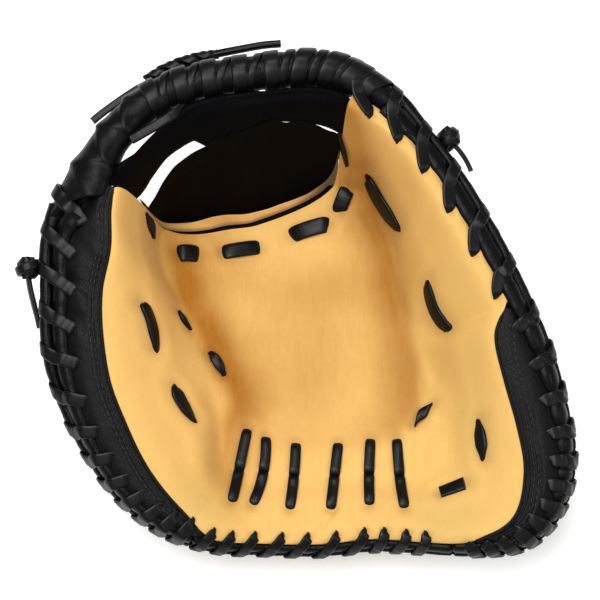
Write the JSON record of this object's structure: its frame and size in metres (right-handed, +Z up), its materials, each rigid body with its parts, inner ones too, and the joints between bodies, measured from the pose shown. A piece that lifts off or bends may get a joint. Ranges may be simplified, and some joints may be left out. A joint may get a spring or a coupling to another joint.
{
  "type": "softball catcher mitt",
  "caption": "Padded catcher's mitt lying on its back: cream palm with a deep pocket, black back, laced rim, and a web panel under a thick laced roll.",
  "frame": {"origin": "middle of the mitt's box, on the surface that its back rests on", "axes": "+Z up out of the pocket, +Y from the heel to the web, +X from the thumb side to the finger side"},
  "size_m": [0.2721, 0.2437, 0.123],
  "materials": {
    "palm_leather": "satin, grained",
    "binding_leather": "matt, worn",
    "shell_leather": "satin, grained",
    "web_leather": "matt",
    "welt_leather": "satin",
    "lace": "satin rawhide"
  },
  "bodies": {
    "root": {"palm": "palm_leather", "side_wall_thumb": "shell_leather", "side_wall_finger": "shell_leather", "back_shell": "shell_leather", "wrist_strap": "shell_leather", "crotch_binding": "binding_leather", "web_panel": "web_leather", "web_band": "web_leather", "web_roll": "welt_leather", "rim_welt_thumb": "welt_leather", "rim_welt_heel": "welt_leather", "rim_welt_finger": "welt_leather", "rim_lace_thumb": "lace", "rim_lace_heel": "lace", "rim_lace_finger": "lace", "roll_lace": "lace", "rim_knot_finger": "lace", "rim_knot_thumb": "lace", "roll_knot": "lace", "roll_tail": "lace", "crotch_lace_1": "lace", "crotch_lace_2": "lace", "crotch_lace_3": "lace", "crotch_lace_4": "lace", "thumb_lace_1": "lace", "thumb_lace_2": "lace", "thumb_lace_3": "lace", "thumb_lace_4": "lace", "finger_lace_1": "lace", "finger_lace_2": "lace", "finger_lace_3": "lace", "finger_lace_4": "lace", "finger_lace_5": "lace", "heel_lace_1": "lace", "heel_lace_2": "lace", "heel_lace_3": "lace", "heel_lace_4": "lace", "heel_lace_5": "lace", "heel_lace_6": "lace"}
  },
  "joints": []
}
